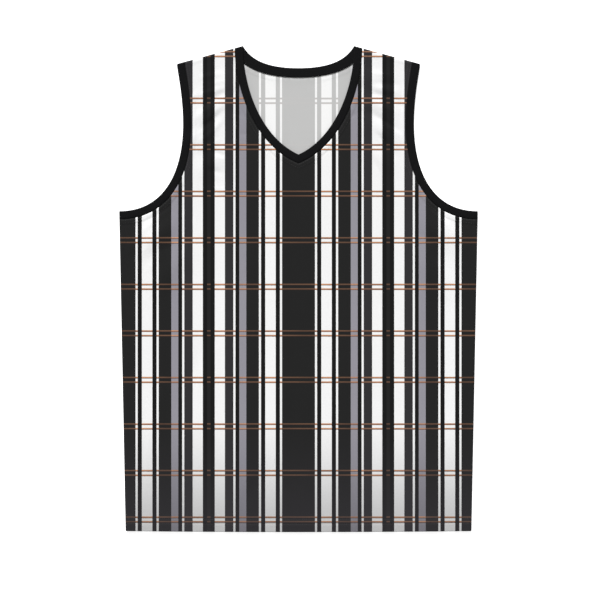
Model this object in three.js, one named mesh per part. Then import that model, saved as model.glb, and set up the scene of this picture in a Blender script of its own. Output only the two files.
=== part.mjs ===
// A sleeveless V-neck basketball jersey, laid out flat with its front side up, in millimetres.
// X runs across the chest, Y from the hem to the neck, and Z up from the surface it lies on.
// The front panel lies on the back panel. They meet at the side and shoulder seams, which are soft folds.
// Folded rib bands edge the neck and the armholes, each sewn edge to edge to its panel.
import * as THREE from "three";

// Sizes of the laid-out jersey, measured from the neck point, where the shoulder seam meets the neck.
const bodyLength = 718; // down to the hem, at the side seams
const hemBow = 3; // the hem hangs this much lower at the centre
const hemHalf = 256.5;
const chestHalf = 266; // half the width under the arms
const underarmDepth = 245;
const acrossHalf = 171.3; // half the width where the armholes are closest together
const acrossDepth = 116;
const neckHalf = 82.4;
const shoulderHalf = 180.4;
const shoulderDrop = 26.7;
const frontNeckDepth = 161;
const backNeckDepth = 32.7;

// Lengths of the handles that bend the armhole's curves, at the shoulder, above and below its narrowest
// point, and at the underarm.
const armholeHandles = { shoulder: 8.4, above: 43.7, below: 70.8, underarm: 67 };

// The cloth and how it is made up.
const clothThickness = 1.2;
const bandWidth = 12;
const bandExtra = 0.7; // a band is a folded strip, so it is thicker than the panels
const bandProud = 0.25; // and it stands a little above the front panel
const hemTurn = 19; // cloth turned up inside the hem
const hemStep = 1.5; // over which the wall thins again, above the turned-up cloth
const hemExtra = 0.7;
const foldRadius = 2.2; // of the outer face, round the side and shoulder seams
const seamGap = 0.3;

// How finely the cloth is divided.
const foldSteps = 3;
const front = { columns: 13, bodyRows: 17, chestRows: 7, yokeRows: 12, chestEnd: 0.55 };
const back = { columns: 7, bodyRows: 6, chestRows: 12, yokeRows: 7, chestEnd: 0.2 };
const rowCrowding = 1.6; // above 1, rows lie closer towards the armholes
const columnCrowding = 0.8; // below 1, columns lie closer towards the sides
const chestDip = 50; // the row that ends in the armhole's corner starts this much lower

// Soft folds of the front panel. x and y are from the neck point's level on the centre line, turn is the
// fold's direction in degrees from X, and length, width and height are its size where it is highest.
const folds = [
  { x: -116, y: -58, turn: 24, length: 84, width: 11, height: 1.4 },
  { x: -134, y: -96, turn: 31, length: 104, width: 11, height: 1.8 },
  { x: -146, y: -134, turn: 22, length: 88, width: 12, height: 1.5 },
  { x: -128, y: -172, turn: 38, length: 96, width: 13, height: 1.2 },
  { x: 108, y: -52, turn: -28, length: 80, width: 11, height: 1.5 },
  { x: 118, y: -90, turn: -37, length: 98, width: 11, height: 1.9 },
  { x: 128, y: -128, turn: -33, length: 92, width: 12, height: 1.6 },
  { x: 122, y: -168, turn: -44, length: 84, width: 13, height: 1.2 },
  { x: -212, y: -282, turn: 38, length: 128, width: 15, height: 2.3 },
  { x: -188, y: -330, turn: 52, length: 120, width: 17, height: 1.5 },
  { x: 216, y: -280, turn: -40, length: 122, width: 15, height: 2.1 },
  { x: 196, y: -334, turn: -57, length: 130, width: 17, height: 1.6 },
  { x: -92, y: -430, turn: 78, length: 220, width: 28, height: 0.9 },
  { x: 84, y: -470, turn: -80, length: 240, width: 30, height: 1.0 },
  { x: -170, y: -590, turn: 74, length: 190, width: 26, height: 0.9 },
  { x: 176, y: -620, turn: -76, length: 180, width: 26, height: 1.1 },
];
const foldFade = 22; // folds die out this far from the side and shoulder seams

const middleHeight = foldRadius + seamGap / 2; // the seams lie at this height
const frontLayer = 1;
const backLayer = -1;
const rightHalf = 1;
const leftHalf = -1;

const point = (x, y) => new THREE.Vector2(x, y);
const between = (a, b, share) => a + (b - a) * share;
const series = (count) => Array.from({ length: count }, (unused, i) => i);
const stepsBetween = (a, b, count) => series(count).map((i) => between(a, b, (i + 1) / count));

// Distances from a seam at which the fold round it is divided, from its flat end to the seam.
const foldDistances = series(foldSteps + 1).map(
  (i) => foldRadius * (1 - Math.sin((Math.PI / 2) * (i / foldSteps))),
);

// The outline

const shoulderOutward = point(shoulderDrop, shoulderHalf - neckHalf).normalize();

function sideHalfAt(y) {
  const share = Math.max(0, (-y - underarmDepth) / (bodyLength - underarmDepth));
  return between(chestHalf, hemHalf, share);
}

function hemAt(x) {
  return -bodyLength - hemBow * (1 - (x / hemHalf) ** 2);
}

// Distance in from the shoulder seam's line, for a point of the right half.
function fromShoulder(plan) {
  return -((plan.x - neckHalf) * shoulderOutward.x + plan.y * shoulderOutward.y);
}

// The nearest folded edge: how far in the point is, and which way is out.
function nearestFold(plan) {
  const half = plan.x < 0 ? leftHalf : rightHalf;
  const fromSide = sideHalfAt(plan.y) - Math.abs(plan.x);
  const shoulder = fromShoulder(point(Math.abs(plan.x), plan.y));
  if (fromSide < shoulder) return { distance: fromSide, outward: point(half, 0) };
  return { distance: shoulder, outward: point(half * shoulderOutward.x, shoulderOutward.y) };
}

const smallRun = 1e-4; // over which a direction is taken along an edge
const halvings = 50; // enough to find a run to a billionth of a millimetre

// A free edge of the right half, from the shoulder seam on, as one curve or two. run goes from 0 to 1 along
// it, and the second curve starts at joint. clothSide is 1 where the cloth lies on its left, else -1.
class Edge {
  constructor(curves, joint, clothSide) {
    this.curves = curves;
    this.joint = joint;
    this.clothSide = clothSide;
    this.length = curves.reduce((sum, curve) => sum + curve.getLength(), 0);
  }

  // Past its ends, the edge goes straight on.
  onCurve(run) {
    const held = THREE.MathUtils.clamp(run, 0, 1);
    const [curve, start, end] =
      held <= this.joint ? [this.curves[0], 0, this.joint] : [this.curves[1], this.joint, 1];
    const share = (held - start) / (end - start);
    const beyond = curve.getTangent(share).multiplyScalar((run - held) * this.length);
    return curve.getPoint(share).add(beyond);
  }

  // The point at this run along the edge, moved this far into the cloth.
  at(run, inward) {
    const ahead = this.onCurve(run + smallRun).sub(this.onCurve(run - smallRun)).normalize();
    const aside = point(-ahead.y, ahead.x).multiplyScalar(this.clothSide * inward);
    return this.onCurve(run).add(aside);
  }

  // The run at which a measure of the point, which grows along the edge, reaches a value.
  runWhere(measure, value, inward, low, high) {
    for (let i = 0; i < halvings; i++) {
      const run = (low + high) / 2;
      if (measure(this.at(run, inward)) < value) low = run;
      else high = run;
    }
    return (low + high) / 2;
  }

  runFromShoulder(distance, inward) {
    return this.runWhere(fromShoulder, distance, inward, -0.2, 0.4);
  }

  // On an armhole, the run at which the edge is this far from the side seam.
  runFromSide(distance, inward) {
    return this.runWhere((p) => p.x - chestHalf, -distance, inward, 0.6, 1.02);
  }
}

const neckPoint = point(neckHalf, 0);
const underarm = point(chestHalf, -underarmDepth);
const narrowest = point(acrossHalf, -acrossDepth);
const upperShare = 0.34; // of the armhole's length, above its narrowest point

const frontNeck = new Edge(
  [
    new THREE.CubicBezierCurve(
      neckPoint,
      point(neckHalf, -frontNeckDepth * 0.38),
      point(neckHalf * 0.67, -frontNeckDepth * 0.843),
      point(0, -frontNeckDepth),
    ),
  ],
  1,
  1,
);
const backNeck = new Edge(
  [
    new THREE.CubicBezierCurve(
      neckPoint,
      point(neckHalf * 0.877, -backNeckDepth * 0.53),
      point(neckHalf * 0.63, -backNeckDepth),
      point(0, -backNeckDepth),
    ),
  ],
  1,
  1,
);
const armhole = new Edge(
  [
    new THREE.CubicBezierCurve(
      point(shoulderHalf, -shoulderDrop),
      point(shoulderHalf, -shoulderDrop - armholeHandles.shoulder),
      point(acrossHalf, -acrossDepth + armholeHandles.above),
      narrowest,
    ),
    new THREE.CubicBezierCurve(
      narrowest,
      point(acrossHalf, -acrossDepth - armholeHandles.below),
      point(chestHalf - armholeHandles.underarm, -underarmDepth),
      underarm,
    ),
  ],
  upperShare,
  -1,
);

// Where the two sides of an edge meet on the centre line, this far into the cloth.
function centrePoint(edge, inward) {
  const end = edge.onCurve(1);
  const before = edge.onCurve(1 - smallRun);
  const steepness = Math.atan2(before.y - end.y, before.x - end.x);
  return point(0, end.y - inward / Math.cos(steepness));
}

// Where the cloth lies

// A fold's height at a point: highest at its middle, fading to nothing at its ends and sides.
function foldHeight(fold, plan) {
  const turn = THREE.MathUtils.degToRad(fold.turn);
  const dx = plan.x - fold.x;
  const dy = plan.y - fold.y;
  const along = dx * Math.cos(turn) + dy * Math.sin(turn);
  const across = dy * Math.cos(turn) - dx * Math.sin(turn);
  if (Math.abs(along) >= fold.length / 2) return 0;
  const end = Math.cos((Math.PI * along) / fold.length) ** 2;
  return fold.height * end * Math.exp(-((across / fold.width) ** 2));
}

function frontRelief(plan) {
  const inside = THREE.MathUtils.smoothstep(nearestFold(plan).distance, 0, foldFade);
  return inside * folds.reduce((sum, fold) => sum + foldHeight(fold, plan), 0);
}

// The place in space of a point of the plan. depth runs from 0 on the cloth's outer face to 1 on its inner
// face, extra is what is added to the cloth's thickness, and proud is how far the outer face stands up.
function place(plan, layer, depth, extra = 0, proud = 0) {
  const { distance, outward } = nearestFold(plan);
  const turned = distance < foldRadius ? Math.acos(1 - Math.max(0, distance) / foldRadius) : Math.PI / 2;
  const inset = depth * (clothThickness + extra * Math.sin(turned));
  const level = (foldRadius + proud - inset) * Math.sin(turned);
  const relief = layer === frontLayer ? frontRelief(plan) : 0;
  return new THREE.Vector3(
    plan.x - outward.x * inset * Math.cos(turned),
    plan.y - outward.y * inset * Math.cos(turned),
    middleHeight + layer * (seamGap / 2 + level) + relief,
  );
}

// Closed solids

// A closed solid from its corners and faces. Faces may all point in, and are then turned round.
function closedGeometry(corners, faces) {
  const triangles = faces.flatMap((face) =>
    series(face.length - 2).map((i) => [face[0], face[i + 1], face[i + 2]]),
  );
  const volume = triangles.reduce((sum, [a, b, c]) => {
    return sum + corners[a].dot(new THREE.Vector3().crossVectors(corners[b], corners[c]));
  }, 0);
  const facing = volume < 0 ? triangles.map(([a, b, c]) => [a, c, b]) : triangles;
  const geometry = new THREE.BufferGeometry().setFromPoints(corners);
  geometry.setIndex(facing.flat());
  geometry.computeVertexNormals();
  return geometry;
}

// A panel of cloth from the rows of points of its right half, mirrored for its left half.
// Rows that start on the centre line join there. hemRows is how many rows lie in the turned-up hem.
function panelGeometry(rows, layer, hemRows) {
  const corners = [];
  const centre = new Map();
  const cornerPair = (plan, row) => {
    const extra = row < hemRows ? hemExtra : 0;
    corners.push(place(plan, layer, 0, extra), place(plan, layer, 1, extra));
    return corners.length - 2;
  };
  const faces = [];
  const edges = new Map();
  const addFace = (loop) => {
    faces.push(loop, loop.map((corner) => corner + 1).reverse());
    loop.forEach((from, i) => {
      const to = loop[(i + 1) % loop.length];
      if (!edges.delete(`${to}>${from}`)) edges.set(`${from}>${to}`, [from, to]);
    });
  };
  for (const half of [rightHalf, leftHalf]) {
    const grid = rows.map((row, i) =>
      row.map((plan) => {
        const own = point(half * plan.x, plan.y);
        if (plan.x !== 0) return cornerPair(own, i);
        if (!centre.has(i)) centre.set(i, cornerPair(own, i));
        return centre.get(i);
      }),
    );
    for (let i = 0; i + 1 < grid.length; i++) {
      for (let j = 0; j + 1 < grid[i].length; j++) {
        const loop = [grid[i][j], grid[i][j + 1], grid[i + 1][j + 1], grid[i + 1][j]];
        addFace(half === rightHalf ? loop : loop.reverse());
      }
    }
  }
  for (const [from, to] of edges.values()) faces.push([to, from, from + 1, to + 1]);
  return closedGeometry(corners, faces);
}

// A folded strip: its section is a row of points from the seam's outer face, round the fold at the free
// edge, to the seam's inner face. inward is the distance from the free edge.
const roundEdge = (clothThickness + bandExtra) / 2;
const bandSection = [
  { inward: bandWidth, depth: 0 },
  { inward: bandWidth / 2, depth: 0 },
  { inward: roundEdge, depth: 0 },
  { inward: roundEdge * (1 - Math.SQRT1_2), depth: (1 - Math.SQRT1_2) / 2 },
  { inward: 0, depth: 0.5 },
  { inward: roundEdge * (1 - Math.SQRT1_2), depth: (1 + Math.SQRT1_2) / 2 },
  { inward: roundEdge, depth: 1 },
  { inward: bandWidth / 2, depth: 1 },
  { inward: bandWidth, depth: 1 },
];

// A band from its stations. Each has its layer, and a place in the plan for each point of the section.
function bandGeometry(stations) {
  const size = bandSection.length;
  const corners = stations.flatMap(({ layer, plans }) =>
    bandSection.map(({ depth }, k) => {
      const proud = layer === frontLayer ? bandProud : 0;
      return place(plans[k], layer, depth, bandExtra, proud);
    }),
  );
  const faces = [];
  for (let i = 0; i + 1 < stations.length; i++) {
    for (let k = 0; k < size; k++) {
      const next = (k + 1) % size;
      faces.push([i * size + k, i * size + next, (i + 1) * size + next, (i + 1) * size + k]);
    }
  }
  const last = (stations.length - 1) * size;
  for (let k = 0, far = size - 1; k < far; k++, far--) {
    const slice = k + 1 === far - 1 ? [k, k + 1, far] : [k, k + 1, far - 1, far];
    faces.push(slice.toReversed(), slice.map((corner) => last + corner));
  }
  return closedGeometry(corners, faces);
}

// Where the pieces are divided along the edges. A panel and the band sewn to it are divided alike, so the
// gap between them stays the same.

// Points of an armhole's front or back edge, from the side seam to the shoulder seam.
function armholePoints(cut, inward) {
  const side = foldDistances.toReversed().map((distance) => armhole.runFromSide(distance, inward));
  const shoulder = foldDistances.map((distance) => armhole.runFromShoulder(distance, inward));
  const chest = stepsBetween(side.at(-1), cut.chestEnd, cut.chestRows);
  const yoke = stepsBetween(cut.chestEnd, shoulder[0], cut.yokeRows);
  const runs = [...side, ...chest, ...yoke, ...shoulder.slice(1)];
  return runs.map((run) => armhole.at(run, inward));
}

// Points of a neck edge's right half, from the centre line to the shoulder seam.
function neckPoints(edge, cut, inward) {
  const nearCentre = 0.96;
  const shoulder = foldDistances.map((distance) => edge.runFromShoulder(distance, inward));
  const steps = stepsBetween(nearCentre, shoulder[0], cut.yokeRows - 1);
  const runs = [nearCentre, ...steps, ...shoulder.slice(1)];
  return [centrePoint(edge, inward), ...runs.map((run) => edge.at(run, inward))];
}

// The panels

// One row of a panel, evenly divided, and finely at its outer end, where the side seam's fold is.
function panelRow(inner, outer, columns) {
  const along = outer.clone().sub(inner);
  const flat = 1 - foldRadius / along.length();
  const shares = series(columns + 1).map((j) => flat * (j / columns) ** columnCrowding);
  foldDistances.slice(1).forEach((distance) => shares.push(1 - distance / along.length()));
  return shares.map((share) => inner.clone().addScaledVector(along, share));
}

// The rows of a panel's right half, each from the centre line or the neck to the side seam or the armhole.
function panelRows(neckEdge, cut) {
  const inward = bandWidth + seamGap;
  const outerEnds = armholePoints(cut, inward);
  const neck = neckPoints(neckEdge, cut, inward);
  const corner = outerEnds[0];

  // From the hem to the armhole's corner, the rows follow the hem's curve, then rise to the sides.
  const span = bodyLength + corner.y;
  const hemShares = [0, hemTurn / 2, hemTurn, hemTurn + hemStep].map((rise) => rise / span);
  const bodyShares = stepsBetween(0, 1, cut.bodyRows).map((i) =>
    between(hemShares.at(-1), 1, 1 - (1 - i) ** rowCrowding),
  );
  const body = [...hemShares, ...bodyShares].map((share) => {
    const height = between(-bodyLength, corner.y, share);
    const row = panelRow(point(0, height), point(sideHalfAt(height), height), cut.columns);
    row.forEach((plan) => {
      const top = corner.y - chestDip * (1 - plan.x / corner.x);
      plan.setY(between(hemAt(plan.x), top, share));
    });
    return row;
  });

  // From there to the neck, they start on the centre line and end on the armhole.
  const chestCount = foldSteps + cut.chestRows;
  const chestStarts = stepsBetween(corner.y - chestDip, neck[0].y, chestCount).map((y) => point(0, y));
  const innerEnds = [...chestStarts, ...neck.slice(1)];
  return [...body, ...innerEnds.map((inner, i) => panelRow(inner, outerEnds[i + 1], cut.columns))];
}

// The bands

function neckBand(edge, layer, cut) {
  const acrossStations = bandSection.map(({ inward }) => neckPoints(edge, cut, inward));
  const right = acrossStations[0].map((unused, i) => acrossStations.map((points) => points[i]));
  const left = right.slice(1).map((plans) => plans.map((plan) => point(-plan.x, plan.y)));
  return bandGeometry([...left.reverse(), ...right].map((plans) => ({ layer, plans })));
}

// An armhole band runs from the side seam up the front, over the shoulder and down the back.
function armholeBand(half) {
  const stationsOf = (cut, layer) => {
    const across = bandSection.map(({ inward }) => armholePoints(cut, inward));
    return across[0].map((unused, i) => ({
      layer,
      plans: across.map((points) => point(half * points[i].x, points[i].y)),
    }));
  };
  return bandGeometry([...stationsOf(front, frontLayer), ...stationsOf(back, backLayer).reverse()]);
}

// Putting the pieces together

const printedCloth = new THREE.MeshStandardMaterial({ color: 0x5b5957, roughness: 0.78, metalness: 0 });
const blackRib = new THREE.MeshStandardMaterial({ color: 0x191919, roughness: 0.85, metalness: 0 });

const jersey = new THREE.Group();
jersey.position.y = (bodyLength + hemBow) / 2; // the origin is under the middle of the laid-out jersey

function addPiece(name, geometry, material) {
  const mesh = new THREE.Mesh(geometry, material);
  mesh.name = name;
  jersey.add(mesh);
}

const hemRowCount = 3;
addPiece("front_panel", panelGeometry(panelRows(frontNeck, front), frontLayer, hemRowCount), printedCloth);
addPiece("back_panel", panelGeometry(panelRows(backNeck, back), backLayer, hemRowCount), printedCloth);
addPiece("neck_band_front", neckBand(frontNeck, frontLayer, front), blackRib);
addPiece("neck_band_back", neckBand(backNeck, backLayer, back), blackRib);
addPiece("armhole_band_left", armholeBand(rightHalf), blackRib);
addPiece("armhole_band_right", armholeBand(leftHalf), blackRib);

export default jersey;
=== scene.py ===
from math import pi, radians

import bmesh
import bpy
import numpy as np
from mathutils import Matrix, Vector, kdtree


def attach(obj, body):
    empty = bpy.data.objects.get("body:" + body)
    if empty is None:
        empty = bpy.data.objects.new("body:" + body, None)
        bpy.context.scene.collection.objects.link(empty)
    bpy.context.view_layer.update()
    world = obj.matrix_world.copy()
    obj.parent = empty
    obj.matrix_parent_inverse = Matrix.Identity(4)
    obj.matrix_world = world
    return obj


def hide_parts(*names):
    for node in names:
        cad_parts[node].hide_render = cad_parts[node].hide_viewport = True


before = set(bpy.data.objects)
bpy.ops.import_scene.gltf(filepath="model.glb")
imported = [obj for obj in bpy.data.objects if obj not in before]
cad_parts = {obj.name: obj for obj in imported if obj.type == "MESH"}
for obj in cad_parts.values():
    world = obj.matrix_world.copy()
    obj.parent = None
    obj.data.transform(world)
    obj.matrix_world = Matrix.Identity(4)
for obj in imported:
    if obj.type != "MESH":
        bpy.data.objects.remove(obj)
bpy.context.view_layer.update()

mm = 0.001
frontLayer, backLayer = 1, -1

jersey = dict(
    bodyLength=719.5, hemBow=1.5, hemHalf=256.5,  # the hem hangs lower at the centre, by its bow
    chestHalf=266, underarmDepth=245,
    acrossHalf=171.3, acrossDepth=116,  # where the armholes are closest together
    shoulderHalf=180.4, shoulderDrop=26.7,
    neckHalf=82.4, frontNeckDepth=161, backNeckDepth=32.7,
    frontNeckHandles=((1, 0.38), (0.67, 0.843)),  # as shares of the neck's half width and of its depth
    backNeckHandles=((0.877, 0.53), (0.63, 1)),
    shoulderHandle=8.4, aboveHandle=43.7, belowHandle=70.8, underarmHandle=67,  # they bend the armhole
    aboveShare=0.34,  # of the armhole's curve, above its narrowest point
    foldRadius=2.2,  # of the soft folds at the side and shoulder seams
    seamGap=0.04, solidsGap=0.3,  # between the front and the back at those seams, here and in the solids
)
originHeight = (jersey["bodyLength"] + jersey["hemBow"]) / 2
middleHeight = jersey["foldRadius"] + jersey["solidsGap"] / 2  # of the side and shoulder seams
onCentre = 0.001  # what is closer than this to the centre line lies on it
quarterFold = pi / 2 * jersey["foldRadius"]
slack = quarterFold - jersey["foldRadius"]  # cloth that a soft fold takes up

cloth = dict(
    thickness=0.7,
    hemTurn=19, hemRadius=0.75,  # the hem is turned up inside
    hemPlump=0.22, hemStep=(0.6, 3),  # the turned-up edge shows as a step
    needleLines=(12, 19), needleDepth=0.22, needleWidth=0.55,
    allowance=7, allowanceRise=0.34,  # cut edges turned in under the panel, beside the bands
    ridgeStart=(0.4, 2), ridgeEnd=(-0.6, 1),  # where their ridge rises from the seam, and falls at their end
    hollowAway=2, hollowDepth=0.12, hollowWidth=1.3,  # beyond the ridge
    seamValley=0.5, seamValleyWidth=0.7,
    sideRise=0.2, sideRidge=((2.5, 4), (7, 8.6)),  # the ridge along the side and shoulder seams
    puckerDepth=0.17, puckerPitch=7.3, puckerReach=9,
    hemPuckerDepth=0.07, hemPuckerPitch=6.1, hemPuckerReach=7, hemPuckerShift=900,
    foldFade=22, sewnFade=5,  # folds and sewn relief die out this far from the side and shoulder seams
    creaseFade=9,  # and creases this far from the bands
    backShare=0.6,  # of the sewn relief, shown by the back
)
needleMiddle = sum(cloth["needleLines"]) / 2

band = dict(
    width=12, thickness=1.9, wall=0.75, proud=0.25, crown=0.2,
    widerBy=(0.17, 0.27), widerFrom=0.15,  # the back neck's, as Edge.widening says
    panelGap=0.05,
    seamCorners=(0, 0.6, 1.4), flatCorners=(9, 7, 5, 3, 1.7), foldCorners=8,  # of its section
    ribPitch=1.5, ribHeight=0.1, stationsPerRib=4,
    valley=0.45, valleyWidth=0.9, backValley=0.5, mitreDepth=0.45, mitreWidth=0.7,
    innerCrown=0.6, innerRib=1.6,  # shares of the outer ones
    sideReach=20,  # the front and back halves of an armhole band part this far from the side seam
    endPower=12,  # its stations slant to the seams' angles only near its ends
)

# Soft folds of the front: place of the middle, direction in degrees from X, length, width and height
folds = [
    (-116, -58, 24, 84, 11, 1.4), (-134, -96, 31, 104, 11, 1.8), (-146, -134, 22, 88, 12, 1.5),
    (-128, -172, 38, 96, 13, 1.2), (108, -52, -28, 80, 11, 1.5), (118, -90, -37, 98, 11, 1.9),
    (128, -128, -33, 92, 12, 1.6), (122, -168, -44, 84, 13, 1.2), (-212, -282, 38, 128, 15, 2.3),
    (-188, -330, 52, 120, 17, 1.5), (216, -280, -40, 122, 15, 2.1), (196, -334, -57, 130, 17, 1.6),
    (-92, -430, 78, 220, 28, 0.9), (84, -470, -80, 240, 30, 1.0), (-170, -590, 74, 190, 26, 0.9),
    (176, -620, -76, 180, 26, 1.1),
]

# Fine creases of the front, with the same columns. A height below 0 is a trough.
frontCreases = [
    (-128, -44, 10, 64, 3.6, 0.80), (-118, -60, 16, 58, 2.6, -0.99), (-132, -68, 22, 72, 2.8, 1.06),
    (-122, -76, 28, 62, 2.5, -1.18), (-140, -90, 34, 52, 2.8, -0.80), (-126, -102, 40, 70, 2.7, 1.12),
    (-130, -110, 43, 74, 2.6, -1.38), (-122, -120, 46, 58, 2.6, 0.96), (-140, -130, 36, 50, 3.2, -0.83),
    (-134, -148, 24, 60, 3.2, 0.80), (-118, -160, -16, 52, 3.4, -0.96), (-124, -186, -12, 48, 4.0, -0.70),
    (-112, -214, -6, 60, 5.0, 0.58), (-90, -101, 4, 30, 2.0, -0.74), (-92, -111, 7, 26, 1.9, -0.70),
    (-96, -86, 12, 30, 2.2, 0.64), (-80, -131, -8, 26, 2.2, -0.58), (-156, -76, 50, 44, 2.8, 0.74),
    (-158, -108, 58, 38, 2.6, -0.70), (120, -42, -8, 58, 3.6, 0.77), (128, -56, -5, 66, 2.7, -1.12),
    (130, -66, -9, 62, 2.5, 0.90), (124, -74, -14, 60, 2.6, -1.02), (130, -92, -24, 56, 3.0, 0.83),
    (127, -112, -34, 76, 2.7, -1.41), (136, -122, -38, 60, 2.6, 0.96), (122, -136, -44, 44, 2.8, -0.67),
    (132, -148, -54, 60, 2.8, -0.99), (112, -172, -62, 48, 3.6, -0.67), (96, -206, -50, 56, 5.0, 0.54),
    (84, -102, -6, 30, 2.0, -0.74), (90, -110, -4, 24, 1.9, -0.64), (97, -90, -14, 30, 2.2, 0.64),
    (154, -90, -48, 44, 2.8, -0.74), (158, -124, -60, 36, 2.8, 0.64), (-206, -246, 34, 66, 3.6, -0.66),
    (-222, -266, 42, 86, 4.2, 0.70), (-236, -300, 52, 74, 4.4, -0.62), (-190, -296, 28, 60, 4.4, -0.46),
    (-214, -322, 48, 66, 4.6, 0.44), (-246, -352, 66, 84, 5.0, 0.50), (202, -242, -38, 64, 3.6, -0.68),
    (214, -260, -45, 90, 4.2, 0.74), (230, -296, -52, 74, 4.4, -0.62), (192, -286, -30, 62, 4.4, -0.48),
    (210, -330, -58, 62, 4.6, 0.42), (246, -364, -68, 88, 5.0, 0.50), (-60, -300, 82, 160, 9.0, 0.40),
    (48, -356, -78, 170, 10.0, -0.42), (150, -430, -70, 150, 8.0, 0.46), (-150, -470, 68, 150, 8.0, -0.46),
    (8, -560, 85, 180, 11.0, 0.38), (-214, -560, 80, 150, 7.0, 0.46), (222, -520, -82, 160, 7.0, -0.46),
    (96, -650, -66, 120, 7.0, 0.38), (-70, -660, 62, 130, 7.0, -0.38), (-236, -640, 84, 120, 6.0, -0.40),
    (232, -668, -80, 90, 6.0, 0.40),
]

# The back lies on the floor, so its folds only rise.
backCreases = [
    (-118, -60, 22, 80, 6.0, 0.45), (-132, -98, 34, 92, 7.0, 0.55), (-140, -150, 28, 84, 8.0, 0.40),
    (112, -66, -26, 84, 6.0, 0.50), (126, -112, -35, 90, 7.0, 0.55), (134, -160, -42, 80, 8.0, 0.40),
    (-206, -276, 40, 110, 9.0, 0.60), (-232, -330, 56, 90, 8.0, 0.40), (210, -290, -44, 104, 9.0, 0.55),
    (226, -346, -60, 96, 8.0, 0.45), (-30, -120, 84, 120, 9.0, 0.30), (46, -200, -76, 150, 11.0, 0.35),
    (-84, -390, 74, 190, 12.0, 0.40), (120, -440, -72, 180, 12.0, 0.40), (-160, -580, 70, 170, 12.0, 0.40),
    (20, -600, 86, 190, 13.0, 0.35), (190, -600, -78, 170, 11.0, 0.40),
]


# The outline of the flat cloth. Its cut edges lie a little outside the laid-out jersey, by the slack.

shoulderOut = Vector((jersey["shoulderDrop"], jersey["shoulderHalf"] - jersey["neckHalf"])).normalized()


def smooth(value, low, high):
    share = np.clip((value - low) / (high - low), 0, 1)
    return share * share * (3 - 2 * share)


def bump(value, width):
    return np.exp(-((value / width) ** 2))


def sideHalfAt(y):
    share = (-y - jersey["underarmDepth"]) / (jersey["bodyLength"] - jersey["underarmDepth"])
    return jersey["chestHalf"] + (jersey["hemHalf"] - jersey["chestHalf"]) * np.maximum(0, share)


def hemAt(x):
    return -jersey["bodyLength"] - jersey["hemBow"] * (1 - (x / jersey["hemHalf"]) ** 2)


def fromSide(x, y):
    return sideHalfAt(y) + slack - np.abs(x)


def fromShoulder(x, y):
    return slack - (np.abs(x) - jersey["neckHalf"]) * shoulderOut.x - y * shoulderOut.y


def fromSeam(x, y):
    return np.minimum(fromSide(x, y), fromShoulder(x, y))


smallRun = 1e-4  # over which a direction is taken along an edge
halvings = 40
knownRuns = np.linspace(-0.15, 1.15, 2601)  # at which an edge's length is measured
seamRuns = np.linspace(-0.05, 1.12, 3600)  # at which a seam line's nearest point is looked for
searchedRuns = dict(shoulder=(-0.15, 0.4), side=(0.6, 1.1), centre=(0.7, 1.15))


class Edge:
    # A free edge of the right half, from the shoulder on, as one curve or two. run goes from 0 to 1 along
    # it, and past its ends it goes straight on. clothSide is 1 where the cloth lies on its left, else -1.
    def __init__(self, curves, joint, clothSide, wider=(0, 0)):
        self.curves = [np.array(curve, float) for curve in curves]
        self.joint = joint
        self.clothSide = clothSide
        self.wider = wider
        steps = np.diff(self.onCurve(knownRuns, reach=1), axis=0)
        self.reach = np.linalg.norm(steps, axis=1)[(knownRuns[1:] > 0) & (knownRuns[1:] <= 1)].sum()
        steps = np.diff(self.onCurve(knownRuns), axis=0)
        self.lengths = np.append(0, np.cumsum(np.linalg.norm(steps, axis=1)))

    def onCurve(self, run, reach=None):
        run = np.asarray(run, float)
        held = np.clip(run, 0, 1)
        first = held <= self.joint
        onSecond = (held - self.joint) / max(1 - self.joint, 1e-9)
        share = np.where(first, held / self.joint, onSecond)[..., None]
        corners = np.where(first[..., None, None], self.curves[0], self.curves[-1])
        a, b, c, d = (corners[..., i, :] for i in range(4))
        left = 1 - share
        place = left**3 * a + 3 * left**2 * share * b + 3 * left * share**2 * c + share**3 * d
        ahead = left**2 * (b - a) + 2 * left * share * (c - b) + share**2 * (d - c)
        ahead /= np.linalg.norm(ahead, axis=-1, keepdims=True)
        return place + ahead * ((run - held) * (reach or self.reach))[..., None]

    def widening(self, run):
        # The band is wider all along by the first share, and near the shoulder by the second too.
        held = np.clip(run, 0, 1)
        grown = smooth(held, 0, band["widerFrom"])
        return 1 + grown * (self.wider[0] + self.wider[1] * (1 - held) ** 2)

    def at(self, run, inward):
        ahead = self.onCurve(run + smallRun) - self.onCurve(run - smallRun)
        ahead /= np.linalg.norm(ahead, axis=-1, keepdims=True)
        aside = np.stack([-ahead[..., 1], ahead[..., 0]], axis=-1)
        offset = self.clothSide * np.asarray(inward, float) * self.widening(run)
        return self.onCurve(run) + aside * np.asarray(offset)[..., None]

    def runWhere(self, measure, value, inward, low, high):
        # The run at which a measure that grows along the edge reaches a value, found by halving
        for halving in range(halvings):
            middle = (low + high) / 2
            if measure(*self.at(middle, inward)) < value:
                low = middle
            else:
                high = middle
        return (low + high) / 2

    def runAtShoulder(self, distance, inward):
        return self.runWhere(fromShoulder, distance, inward, *searchedRuns["shoulder"])

    def runAtSide(self, distance, inward):
        return self.runWhere(lambda x, y: -fromSide(x, y), -distance, inward, *searchedRuns["side"])

    def runAtCentre(self, inward):
        return self.runWhere(lambda x, y: -x, 0, inward, *searchedRuns["centre"])

    def lengthTo(self, run):
        return np.interp(run, knownRuns, self.lengths)

    def runAtLength(self, length):
        return np.interp(length, self.lengths, knownRuns)


def neckEdge(depth, handles, wider=(0, 0)):
    half = jersey["neckHalf"]
    bends = [(half * across, -depth * down) for across, down in handles]
    return Edge([[(half, 0), *bends, (0, -depth)]], 1, 1, wider)


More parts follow.
